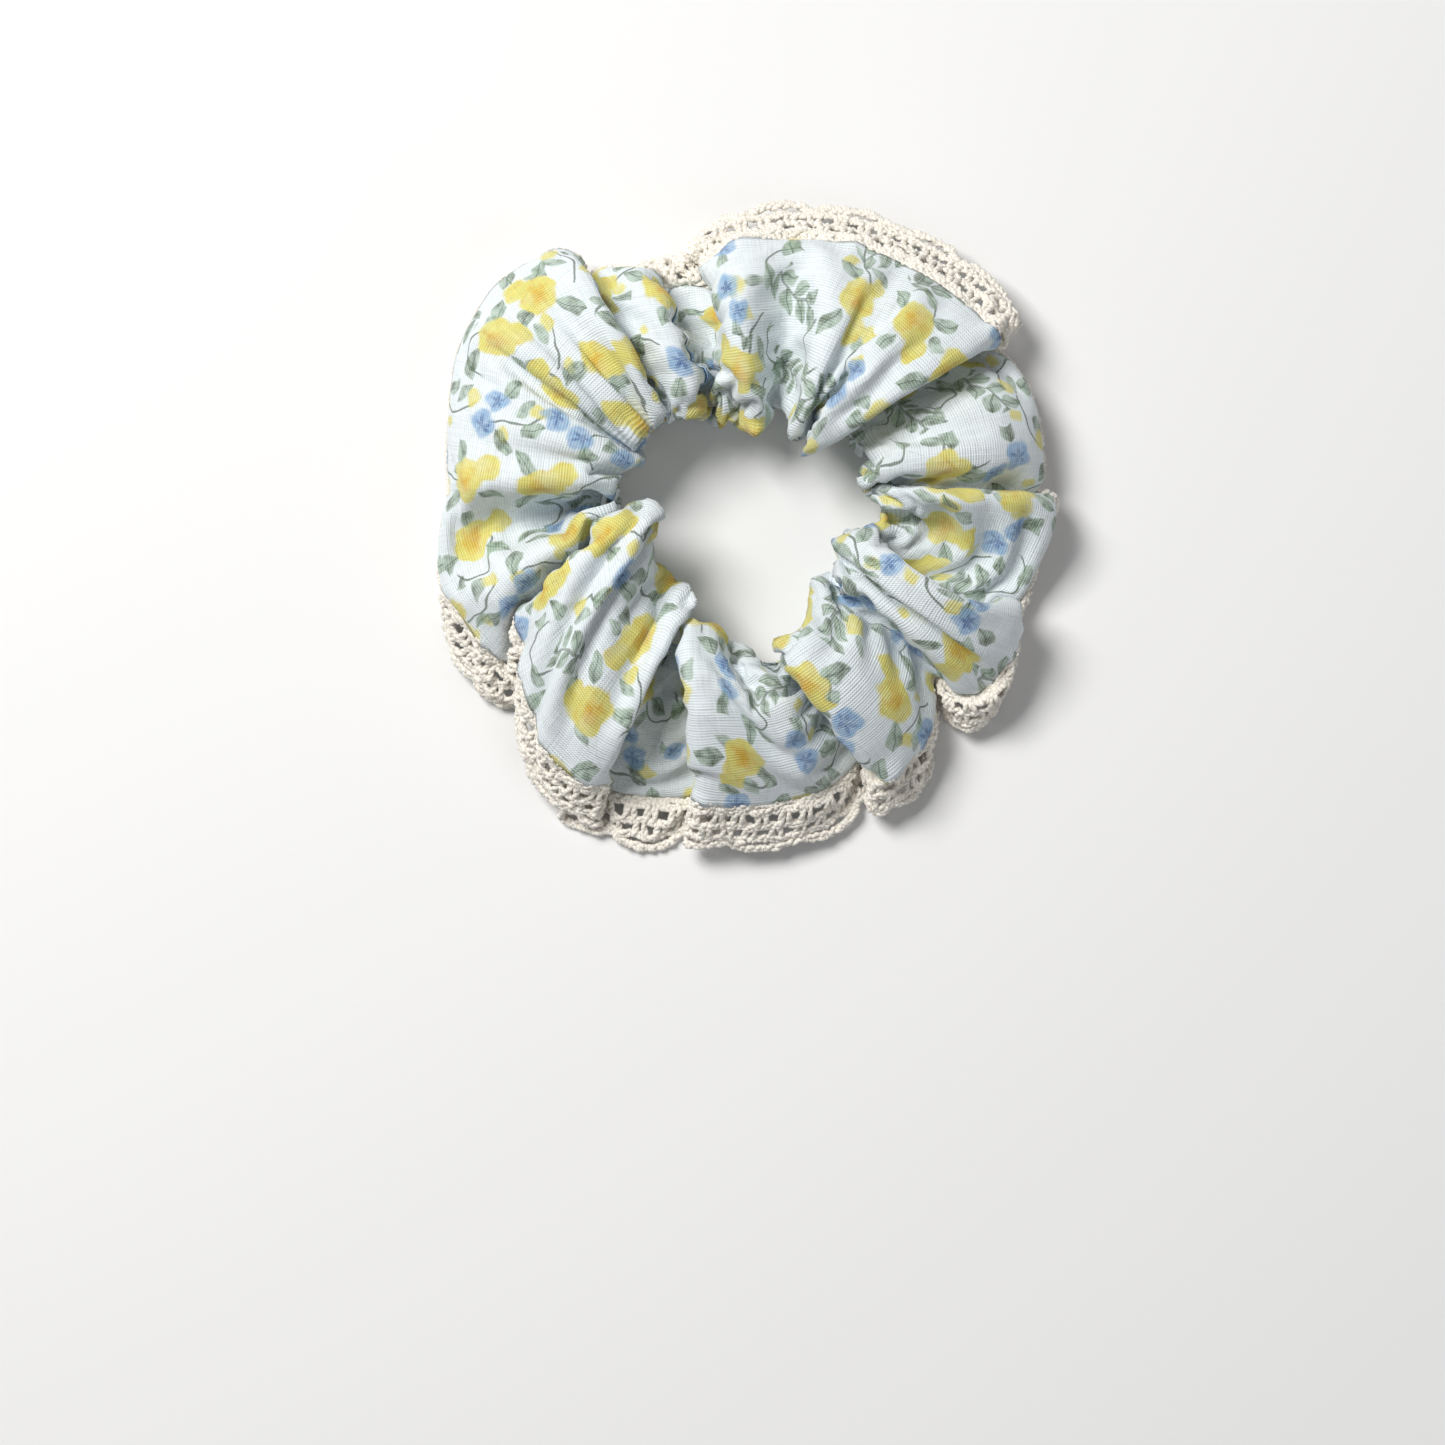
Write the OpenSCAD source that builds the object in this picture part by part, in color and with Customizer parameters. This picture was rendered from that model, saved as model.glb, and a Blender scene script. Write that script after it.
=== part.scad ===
// Lace-edged hair scrunchie, lying flat, relaxed.
// A printed cloth tube is gathered on a ring of flat elastic. The tube's two long edges
// meet at the rim, with a scalloped cotton lace sewn between them.
// The ring is cut into a left and a right half across X, because it is pulled open there.
// Millimetres, +Z up, origin at the middle of the footprint.

/* [Cover] */
// Radius of the relaxed hair opening
opening_r = 17; // [12:0.5:20]
// Radius of the cover's rim, where the lace comes out
rim_r = 53; // [48:0.5:60]
// Height of the gathered cover
cover_h = 26; // [22:0.5:32]
// Bulk thickness of the gathered cloth wall
wall = 1.4; // [1:0.1:2]
// Width of the turned-in seam allowance
allowance = 5; // [4:0.5:7]

/* [Lace] */
// How far the lace stands out of the rim
lace_w = 7; // [6:0.5:10]
// Thickness of the lace
lace_t = 0.8; // [0.5:0.1:1]
// Scallops on each half of the lace
scallops = 13; // [9:1:17]

/* [Elastic] */
// Width of the flat elastic
elastic_w = 6; // [4:0.5:8]
// Thickness of the flat elastic
elastic_t = 1; // [0.7:0.1:1.4]
// Length by which the elastic's ends overlap
elastic_lap = 10; // [8:0.5:14]

/* [Stitching] */
// Thickness of the sewing thread
thread_d = 0.3; // [0.2:0.05:0.4]
// Stitch length in the lace seam
stitch = 4; // [3:0.5:6]
// Direction of the closing seam across the tube, in degrees from +X
closing_angle = 108; // [100:1:150]

/* [Hidden] */

$fn = 96;
slit = 0.3;                         // gap between the two halves
rim_z = 10;                         // height of the lace seam
rim_t = 2;                          // height of the rim's outer edge
crown_r = opening_r + 13;           // where the cover is highest
inner_low = 5;                      // lowest point of the inner wall
inner_high = cover_h - 9;           // highest point of the inner wall
foot_in = opening_r + 6;            // inner edge of the flat underside
foot_out = rim_r - 11;              // outer edge of the flat underside
pleats = 9;                         // depth of the inner pleats, between opening and elastic
cavity_r = opening_r + pleats;      // inner wall of the elastic's channel
cavity_top = cover_h - 2 * wall;
curve_steps = 6;                    // straight pieces in each quarter curve
lace_z = rim_z - lace_t / 2;
slot_t = lace_t + 0.2;              // gap between the seam allowances, for the lace
seam_r = rim_r - 2;                 // radius of the lace seam's stitches
elastic_r = cavity_r + 0.4;         // inner face of the elastic
elastic_z = inner_low + 4;          // middle of the elastic's width
lap_angle = elastic_lap / (elastic_r + elastic_t) * 180 / PI;
lap_from = 160;                     // where the lap begins, in degrees from +X
far = 2 * rim_r;                    // beyond everything

cloth_color = [0.90, 0.93, 0.95];
lace_color = [0.90, 0.87, 0.80];
thread_color = [0.95, 0.95, 0.93];
elastic_color = [0.97, 0.97, 0.96];

// A quarter of an ellipse from one point to another, leaving the first along X or along Z
function quarter(from, to, along_x) = [
    for (i = [0 : curve_steps])
        let (a = 90 * i / curve_steps)
            along_x
                ? [from.x + (to.x - from.x) * sin(a), from.y + (to.y - from.y) * (1 - cos(a))]
                : [from.x + (to.x - from.x) * (1 - cos(a)), from.y + (to.y - from.y) * sin(a)]
];

// A soft S between two points, level at both ends
function slope(from, to) = [
    for (i = [0 : 2 * curve_steps])
        let (t = i / (2 * curve_steps))
            [from.x + (to.x - from.x) * t, from.y + (to.y - from.y) * (1 - cos(180 * t)) / 2]
];

// Height of the cover's upper side at radius r, outside the crown
function top_z(r) =
    let (t = (r - crown_r) / (rim_r - crown_r), rim_top = rim_z + rim_t / 2)
        cover_h + (rim_top - cover_h) * (1 - cos(180 * t)) / 2;

// Outside of the gathered tube, cut across: radius and height
cover_profile = concat(
    quarter([opening_r, inner_high], [crown_r, cover_h], false),
    slope([crown_r, cover_h], [rim_r, rim_z + rim_t / 2]),
    slope([rim_r, rim_z - rim_t / 2], [foot_out, 0]),
    quarter([foot_in, 0], [opening_r, inner_low], true)
);

// Hollow inside of the tube, cut across
cavity_profile = concat(
    quarter([cavity_r, inner_high], [crown_r, cavity_top], false),
    slope([crown_r, cavity_top], [rim_r - allowance, rim_z + slot_t / 2]),
    slope([rim_r - allowance, rim_z - slot_t / 2], [foot_out - allowance, wall]),
    [[cavity_r, wall]]
);

// Keeps what lies on one side of the cut across the ring: side is -1 for left, 1 for right
module half(side) {
    intersection() {
        children();
        translate([side > 0 ? slit / 2 : -far - slit / 2, -far, -far])
            cube([far, 2 * far, 2 * far]);
    }
}

// One half of the gathered cloth tube, open along the rim for the lace
module cover(side) {
    color(cloth_color)
        half(side)
            difference() {
                rotate_extrude() polygon(cover_profile);
                rotate_extrude() polygon(cavity_profile);
                rotate_extrude()
                    translate([rim_r - allowance - 1, rim_z - slot_t / 2])
                        square([allowance + 2, slot_t]);
            }
}

// One half of the lace, with its plain heading inside the seam
module lace(side) {
    pitch = 180 / scallops;
    root_r = rim_r + lace_w - 2;
    lobe_r = root_r * sin(pitch / 2) * 1.06;
    color(lace_color)
        half(side)
            translate([0, 0, lace_z])
                difference() {
                    union() {
                        cylinder(r = root_r, h = lace_t);
                        for (i = [0 : 2 * scallops - 1])
                            rotate((i + 0.5) * pitch - 90)
                                translate([rim_r + lace_w - lobe_r, 0, 0])
                                    cylinder(r = lobe_r, h = lace_t, $fn = 48);
                    }
                    translate([0, 0, -1])
                        cylinder(r = rim_r - allowance + 1, h = lace_t + 2);
                }
}

// A straight bit of thread along X, centred
module thread(length) {
    rotate([0, 90, 0])
        cylinder(d = thread_d, h = length, center = true, $fn = 16);
}

// One stitch through the seam: a run above, a run below and the two ends going through
module seam_stitch(length, rise) {
    for (z = [-rise / 2, rise / 2])
        translate([0, 0, z])
            thread(length);
    for (x = [-length / 2, length / 2])
        translate([x, 0, 0])
            cylinder(d = thread_d, h = rise + thread_d, center = true, $fn = 16);
}

// The row of stitches that holds cloth, lace and cloth together on one half
module lace_seam(side) {
    count = floor(PI * seam_r / stitch);
    pitch = 180 / count;
    color(thread_color)
        for (i = [0 : count - 1])
            rotate((i + 0.5) * pitch - 90 * side)
                translate([seam_r, 0, rim_z])
                    rotate(90)
                        seam_stitch(0.7 * stitch, lace_t + 0.5);
}

// The stitches that close the tube's two ends, laid across its upper side
module closing_seam() {
    run = 2.2;
    pitch = 3.4;
    first = crown_r + 1;
    last = rim_r - allowance;
    color(thread_color)
        for (r = [first : pitch : last]) {
            drop = atan((top_z(r + 0.1) - top_z(r - 0.1)) / 0.2);
            rotate(closing_angle)
                translate([r, 0, top_z(r)])
                    rotate([0, -drop, 0])
                        thread(run);
        }
}

// The ring of flat elastic, one end lapped over the outside of the other
module elastic_band() {
    bite = 0.05;
    color(elastic_color)
        translate([0, 0, elastic_z - elastic_w / 2]) {
            rotate_extrude()
                translate([elastic_r, 0])
                    square([elastic_t, elastic_w]);
            rotate(lap_from)
                rotate_extrude(angle = lap_angle)
                    translate([elastic_r + elastic_t - bite, 0])
                        square([elastic_t + bite, elastic_w]);
        }
}

// The zigzag that sews the elastic's lapped ends together
module elastic_stitches() {
    turns = 6;
    face_r = elastic_r + 2 * elastic_t + thread_d / 2;
    reach = elastic_w / 2 - 1;
    step = (lap_angle - 6) / turns;
    width = face_r * sin(step);
    length = sqrt(width * width + 4 * reach * reach);
    lean = atan2(2 * reach, width);
    color(thread_color)
        for (i = [0 : turns - 1])
            rotate(lap_from + 3 + (i + 0.5) * step)
                translate([face_r, 0, elastic_z])
                    rotate([i % 2 == 0 ? lean : -lean, 0, 0])
                        rotate(90)
                            thread(length - 2 * thread_d);
}

cover(-1);  // cover_left
cover(1);  // cover_right
lace(-1);  // lace_left
lace(1);  // lace_right
lace_seam(-1);  // lace_seam_left
lace_seam(1);  // lace_seam_right
closing_seam();
elastic_band();
elastic_stitches();
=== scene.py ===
import math

import bpy
import numpy as np
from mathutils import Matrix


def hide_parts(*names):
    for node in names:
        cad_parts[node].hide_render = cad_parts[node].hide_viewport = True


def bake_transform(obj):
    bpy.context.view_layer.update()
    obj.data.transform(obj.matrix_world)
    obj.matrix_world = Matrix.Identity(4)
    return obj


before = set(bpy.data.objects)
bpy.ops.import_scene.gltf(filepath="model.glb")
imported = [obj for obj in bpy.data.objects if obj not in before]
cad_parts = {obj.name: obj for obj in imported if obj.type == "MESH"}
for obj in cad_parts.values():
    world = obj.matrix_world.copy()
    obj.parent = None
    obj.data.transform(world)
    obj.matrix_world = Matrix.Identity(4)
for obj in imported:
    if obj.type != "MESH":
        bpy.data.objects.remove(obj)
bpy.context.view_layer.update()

# Shapes are worked out in millimetres, in the frame's own axes, and scaled to metres when a mesh is made.
MM = 0.001

# -------- sizes of the flat pieces
STRIP_W = 90.0          # visible width of the cloth strip, seam to seam round the tube
ALLOWANCE = 5.0         # turned in at each long edge
CLOTH_T = 0.28
LACE_W = 9.0            # how far the lace stands out of the seam
THREAD_R = 0.16
ELASTIC_W = 6.0
ELASTIC_T = 1.0
ELASTIC_LAP = 10.0
ELASTIC_R = 27.0        # the ring's mean radius and height, inside the tube
ELASTIC_Z = 7.6

# -------- how the folds lie
# Each rib is one line across the flattened tube, taken anticlockwise from the gap at the lower right.
# It holds the rim point, the lace's outer edge, the point on the inner fold, (the share of the strip's
# width in the upper layer, how far that layer hangs over the rim) and the sway of its middle, with a
# second height where the outer half sways otherwise.
EVEN = (40, 0)
RIBS = [
    # gap
    ((34, -26, 4), (34, -28, 1), (17, -11, 8), EVEN, (0, 0, -4)),
    # pointed tongue at the lower right
    ((39, -31.5, 8), (39.5, -38.5, 4), (12.5, -6, 15), EVEN, (1, 1, 0)),
    ((44, -31, 9), (45, -37, 4), (14, -4, 15), EVEN, (1, 0, 2)),
    ((47.5, -25, 10), (46, -27, 3), (15, -2.5, 15), EVEN, (0, -2, 3)),
    ((49, -19, 12), (45.5, -20, 5), (16.2, -1, 16), EVEN, (-1, -4, 3)),
    ((50, -13.5, 14), (46.5, -14, 7), (17.6, 0.5, 17), EVEN, (-1, -5, 4)),
    ((46, -18, 4), (46, -19, 1), (19.5, -2, 8), EVEN, (0, -2, -4)),
    # bowl and corner on the right
    ((50, -11, 6), (48, -10, 1.5), (18.5, 0, 10), (42, 2), (1, -2, -9)),
    ((53, -3, 9), (49, -3, 2), (18.8, 2, 11), (43, 3), (1, -1, -10, -6)),
    ((56, 6, 11), (51, 5, 4), (18.5, 4.5, 16), (44, 3), (0, 2, 3)),
    ((51, 4, 4), (47, 3, 1), (21.5, 6.5, 8), EVEN, (0, 0, -3)),
    # puff above it
    ((53, 10, 8), (50, 11, 1), (18.3, 8.5, 13), (44, 5), (0, 0, 0)),
    ((52.5, 18, 8), (49, 17, 1), (18, 11, 13), (45, 5), (0, 0, 0)),
    ((51, 26, 8), (47, 23, 1), (16, 14, 12), (45, 5), (0, 0, -1)),
    ((46.5, 32.5, 6), (43, 28, 1), (17, 17, 9), (43, 3), (0, 0, -3)),
    ((39, 36, 4), (36, 33, 1), (16, 20, 7), EVEN, (0, 0, -4)),
    # wide panel at the top right, with a hollow near its left side
    ((46, 33.5, 15), (49, 35, 11), (10.1, 13, 17), EVEN, (0, 0, 1)),
    ((40.5, 40, 14), (46.5, 43, 9), (9.5, 14, 18), EVEN, (0, 0, 1)),
    ((34, 45, 12), (41, 49, 7), (9, 15, 18), EVEN, (0, 0, 2)),
    ((27, 49.5, 10), (32, 54.5, 5), (8.5, 16, 17), EVEN, (0, 0, 3)),
    ((17, 53, 9), (20, 59, 4), (8.5, 15.5, 17), EVEN, (0, 0, 6)),
    ((11, 53.5, 9), (12, 60, 4), (7, 23, 6), EVEN, (1, 0, -17, 4)),
    ((5, 53, 10), (4, 59.5, 5), (4, 22, 7), EVEN, (1, 0, -17, 4)),
    ((-3, 51.5, 12), (-4, 57.5, 6), (1.5, 16, 17), EVEN, (-1, 0, 5)),
    ((-9, 47.5, 10), (-12, 51, 5), (-3, 22, 10), EVEN, (0, 0, -2)),
    ((-4, 44, 5), (-6, 48, 1), (-4.5, 16.5, 15), EVEN, (0, 0, -2)),
    # recess at the top
    ((-11, 45, 4), (-13, 50.5, 2), (-5, 22, 8), EVEN, (0, 0, -5)),
    ((-19, 43, 4), (-20, 47.5, 1), (-9, 24, 8), EVEN, (0, 0, -5)),
    # narrow puff
    ((-16, 45, 11), (-16, 44, 4), (-6.5, 18, 16), (42, 3), (2, 0, 2)),
    ((-23, 47, 10), (-22, 45, 3), (-10.5, 17, 15), (43, 3), (0, 0, 1)),
    ((-30, 46, 8), (-29, 43, 1), (-14.5, 18.5, 11), (43, 3), (0, 0, -3)),
    ((-36, 42, 6), (-35, 39, 1), (-20, 25, 8), EVEN, (0, 0, -4)),
    # large puff at the upper left
    ((-31, 49, 13), (-30, 46, 6), (-16.5, 20, 17), (43, 3), (1.5, 1, 2)),
    ((-40, 49, 10), (-38, 44, 3), (-18.3, 17.5, 17), (45, 5), (0, 0, 2)),
    ((-47.5, 43.5, 8), (-44.5, 40, 1), (-18, 14, 15), (45, 5), (0, 0, 2)),
    ((-52.5, 34, 8), (-48.5, 32, 1), (-20.5, 13.5, 11), (45, 5), (0, 0, 0)),
    ((-54.5, 23.5, 8), (-51, 22, 1), (-19, 11.5, 15), (45, 5), (0, 0, 1)),
    ((-55, 14, 8), (-51.5, 14, 1), (-22.5, 9.5, 11), (44, 4), (0, -1, 1)),
    # bowl on the left, between two ridges
    ((-54, 7, 9), (-51.5, 5, 1), (-21.5, 6.5, 17), (44, 3), (0, -1, 8)),
    ((-55, 3, 9), (-52, 1, 1), (-25, 5, 9), (41, 2), (0, 3, -14, -2)),
    ((-56, -2, 11), (-54, -6, 1), (-25.3, 4, 8), (39, 1), (-4, 2, -21, -7)),
    ((-56, -7.5, 11), (-55, -13, 1.5), (-25.3, 3, 8), (39, 1), (-4, 1, -21, -7)),
    ((-54.5, -12, 11), (-55.5, -18, 2), (-25, 2.2, 9), (40, 1), (-1, 0, -12, 0)),
    ((-51, -16.5, 11), (-54.5, -23, 2), (-21.5, 1.5, 17), EVEN, (1, 3, 7)),
    ((-45, -26, 7), (-49, -32, 2), (-25, -1, 10), EVEN, (0, 1, -3)),
    ((-38, -28, 4), (-40, -33, 1), (-25, -4, 8), EVEN, (0, 0, -4)),
    ((-35, -20, 6), (-36, -22, 1), (-24, -1, 10), EVEN, (0, 0, -3)),
    # tongue lying on top at the lower left
    ((-40.5, -13, 16), (-42, -14, 8), (-19, 3, 18), EVEN, (0, 1, 1)),
    ((-41.5, -23, 15), (-42.5, -23, 7), (-15, 3.2, 18), EVEN, (0, 0, 2)),
    ((-41, -32, 14), (-42.5, -33, 6), (-12.5, 0, 17), EVEN, (0, 0, 3)),
    ((-39, -41, 12), (-41.5, -44.5, 4), (-11, -5, 15), EVEN, (0, 0, 3)),
    ((-32, -48, 10), (-34.5, -54, 3), (-10.5, -10, 15), EVEN, (0, 0, 2)),
    ((-25.5, -46, 9), (-27, -54, 3), (-11, -13.5, 16), EVEN, (0, 0, 1)),
    ((-33, -43, 4), (-34, -52, 1.5), (-17, -17, 7), EVEN, (0, 0, -5)),
    # low panel at the bottom left
    ((-27, -48, 3), (-28, -56.5, 1.5), (-14, -18, 8), EVEN, (0, 0, -4)),
    ((-19, -50, 3), (-20, -59, 1.5), (-12, -19, 9), EVEN, (0, 0, -4)),
    ((-10, -49, 3), (-11, -57, 1), (-9, -21, 8), EVEN, (0, 0, -5)),
    ((-5, -46, 3.5), (-5, -54, 1), (-9, -23, 7), EVEN, (0, 0, -5)),
    # panel at the bottom
    ((-10.5, -48.5, 12), (-10.5, -57, 6), (-10.5, -15, 16), EVEN, (-2, 0, 1)),
    ((-2, -50, 11), (-3, -59, 5), (-7.5, -17, 16), EVEN, (0, 0, 2)),
    ((7, -50, 9), (6, -59.5, 4), (-3, -24, 11), EVEN, (0, 0, 1)),
    ((15, -48, 7), (16, -57, 3), (0, -20, 14), EVEN, (0, 0, 1)),
    ((19, -42, 5), (22, -50, 2), (4, -20, 13), EVEN, (0, 0, -2)),
    ((24, -36, 4), (27, -42, 1), (8, -21, 8), EVEN, (0, 0, -4)),
    # panel at the bottom right
    ((22.5, -46, 12), (21, -53.5, 6), (4, -18.5, 16), EVEN, (-3, -1, 1)),
    ((29, -43, 11), (31, -50.5, 5), (6.5, -14.5, 16), EVEN, (0, 1, 2)),
    ((33.5, -36.5, 9), (35, -40, 4), (8.5, -11, 15), EVEN, (1, 1, 1)),
    ((33, -29, 7), (32, -30, 2), (11.5, -8.5, 11), EVEN, (1, 1, -2)),
]
CLOSING_RIB = 26        # the strip's two ends are sewn together in the recess at the top

# -------- simulation grid
ROWS = 240              # along the strip
COLUMNS = 40            # round the tube
FIN = 4                 # across the lace
GRID = COLUMNS + FIN
PLEATS = 19             # gathers at the elastic
PLEAT_DEPTH = 6         # at most
PLEAT_BLUR = 6          # rows over which their depth is evened out
FOLD_GAP = 1.6          # the inner fold stays this far inside the elastic's ring
MOVE_FRAMES = 50        # the band travels from its round start to the laid-out folds
REST_FRAMES = 15
SIM_SCALE = 20.0        # the cloth solver works best on metre-sized things
GROUND_REACH = 3        # in metres

# How firmly the cloth is led to its place: both layers, inner fold, rim seam, lace and lace's edge
LAYER_GRIP, FOLD_GRIP, SEAM_GRIP, LACE_GRIP, EDGE_GRIP = 0.6, 1.0, 0.85, 0.5, 0.75

# Where the two layers head for as they leave the rim and the inner fold
SHOULDER_IN, SHOULDER_UP = 6, 10
CROOK_OUT, CROOK_UP = 4, 14
SOLE_IN, SOLE_DOWN = 8, 3
HEEL_OUT, HEEL_DOWN = 4, 10
SOLE_LOW = 0.6          # the lower layer's least height


def spline(a, b, c, d, t):
    """The point t of the way from b to c, on a smooth curve through all four."""
    square, cube = t * t, t * t * t
    return 0.5 * (2 * b + (c - a) * t + (2 * a - 5 * b + 4 * c - d) * square
                  + (3 * b - a - 3 * c + d) * cube)


def closed_curve(points, count, pieces=24):
    """Even steps along a smooth closed curve through the points, with its length in mm."""
    p = np.array(points, float)
    a, b, c, d = (np.roll(p, -k, axis=0)[:, None, :] for k in (-1, 0, 1, 2))
    fine = spline(a, b, c, d, (np.arange(pieces) / pieces)[None, :, None]).reshape(-1, p.shape[1])
    loop = np.vstack([fine, fine[:1]])
    run = np.concatenate([[0], np.cumsum(np.linalg.norm(np.diff(loop[:, :3], axis=0), axis=1))])
    at = np.linspace(0, run[-1], count, endpoint=False)
    even = [np.interp(at, run, loop[:, k]) for k in range(p.shape[1])]
    return np.stack(even, axis=1), run[-1]


def smoothed(values, reach):
    """Running mean round a closed row."""
    wrapped = np.concatenate([values[-reach:], values, values[:reach]])
    width = 2 * reach + 1
    return np.convolve(wrapped, np.ones(width) / width, "valid")


rib_rows = [rim + tip + fold + layer + (*lean[:3], lean[-1]) for rim, tip, fold, layer, lean in RIBS]
path, STRIP_L = closed_curve(rib_rows, ROWS)
rim, tip, inner_line = path[:, 0:3], path[:, 3:6], path[:, 6:9]
top_width, overhang, sway, outer_sway = path[:, 9], path[:, 10], path[:, 11:14], path[:, (11, 12, 14)]
fold_column = np.clip(np.round(COLUMNS * top_width / STRIP_W), 1, COLUMNS - 1).astype(int)


def pleated(line):
    """The inner fold with small irregular gathers, deep where it has more cloth than room."""
    rng = np.random.default_rng(3)
    widths = rng.uniform(0.6, 1.4, PLEATS)
    edges = np.concatenate([[0], np.cumsum(widths) / widths.sum()])
    along = np.arange(ROWS) / ROWS
    phase = np.interp(along, edges, np.arange(PLEATS + 1)) * 2 * np.pi
    gap = np.linalg.norm(np.diff(np.vstack([line, line[:1]]), axis=0), axis=1)
    spare = smoothed(np.sqrt(np.clip((STRIP_L / ROWS) ** 2 - gap ** 2, 0, None)), PLEAT_BLUR)
    depth = np.minimum(smoothed(spare / np.gradient(phase), PLEAT_BLUR), PLEAT_DEPTH)
    radius = np.hypot(line[:, 0], line[:, 1])
    out = line * (1, 1, 0) / radius[:, None]
    reach = np.minimum(depth * (1 - np.cos(phase)) * 0.75, ELASTIC_R - FOLD_GAP - radius)
    folded = line + out * reach[:, None]
    folded[:, 2] += depth * 0.6 * np.sin(phase)
    return folded


inner = pleated(inner_line)


def bezier(a, b, c, d, t):
    """A point on the cubic curve from a to d that heads for b and comes from c."""
    return a * (1 - t) ** 3 + 3 * b * t * (1 - t) ** 2 + 3 * c * t * t * (1 - t) + d * t ** 3


START_LOW = 3           # the round band's lower edge, above the floor
START_H = 45
START_BELLY = 1.3       # how far its two layers bulge apart


def round_start():
    """A flattened tube standing as a round band, seam up, with the lace hanging down outside."""
    radius = STRIP_L / (2 * np.pi)
    first = math.atan2(rim[0][1], rim[0][0])
    shape = np.zeros((ROWS, GRID, 3))
    for i in range(ROWS):
        turn = first + 2 * np.pi * i / ROWS
        way = np.array([math.cos(turn), math.sin(turn), 0])
        for j in range(COLUMNS):
            upper = j <= fold_column[i]
            w = j / fold_column[i] if upper else (COLUMNS - j) / (COLUMNS - fold_column[i])
            belly = START_BELLY * math.sqrt(max(math.sin(math.pi * w), 0))
            shape[i, j] = way * (radius - belly if upper else radius + belly)
            shape[i, j, 2] = START_LOW + START_H * (1 - w)
        for f in range(FIN):
            t = (f + 1) / FIN
            shape[i, COLUMNS + f] = way * (radius + 3 * math.sqrt(t))
            shape[i, COLUMNS + f, 2] = START_LOW + START_H - LACE_W * t
    return shape


def laid_out():
    """Where the folds would lie if the cloth had no thickness or stiffness."""
    up = np.array([0, 0, 1.0])
    shape = np.zeros((ROWS, GRID, 3))
    for i in range(ROWS):
        out = (rim[i] - inner[i]) * (1, 1, 0)
        out /= max(np.linalg.norm(out), 1e-6)
        lean, outer_lean = sway[i] * 4 / 3, outer_sway[i] * 4 / 3
        for j in range(COLUMNS):
            if j <= fold_column[i]:
                shoulder = (rim[i] + outer_lean + out * (overhang[i] * 1.6 - SHOULDER_IN)
                            + up * (SHOULDER_UP + overhang[i] / 2))
                crook = inner[i] + lean + out * CROOK_OUT + up * CROOK_UP
                shape[i, j] = bezier(rim[i], shoulder, crook, inner[i], j / fold_column[i])
            else:
                w = (COLUMNS - j) / (COLUMNS - fold_column[i])
                sole = rim[i] - out * SOLE_IN - up * SOLE_DOWN
                heel = inner[i] + out * HEEL_OUT - up * HEEL_DOWN
                shape[i, j] = bezier(rim[i], sole, heel, inner[i], w)
                shape[i, j, 2] = max(shape[i, j, 2], SOLE_LOW)
        for f in range(FIN):
            shape[i, COLUMNS + f] = rim[i] + (tip[i] - rim[i]) * (f + 1) / FIN
    return shape


def grip():
    """How firmly each point is led to its laid-out place."""
    weight = np.zeros((ROWS, GRID))
    for i in range(ROWS):
        weight[i, 1:fold_column[i]] = LAYER_GRIP
        weight[i, fold_column[i]] = FOLD_GRIP
    weight[:, 0] = SEAM_GRIP
    weight[:, COLUMNS:] = LACE_GRIP
    weight[:, -1] = EDGE_GRIP
    return weight


def band_faces():
    """Quads round the tube, and across the lace from the tube's seam."""
    quads = []
    for i in range(ROWS):
        a, b = i * GRID, (i + 1) % ROWS * GRID
        for j in range(COLUMNS):
            k = (j + 1) % COLUMNS
            quads.append((a + j, b + j, b + k, a + k))
        across = [0, *range(COLUMNS, GRID)]
        for j, k in zip(across, across[1:]):
            quads.append((a + j, b + j, b + k, a + k))
    return quads


def plane(name, reach):
    """A flat square at height 0, that reaches so many metres each way."""
    mesh = bpy.data.meshes.new(name)
    corners = [(-reach, -reach, 0), (reach, -reach, 0), (reach, reach, 0), (-reach, reach, 0)]
    mesh.from_pydata(corners, [], [(0, 1, 2, 3)])
    square = bpy.data.objects.new(name, mesh)
    bpy.context.collection.objects.link(square)
    return square


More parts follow.
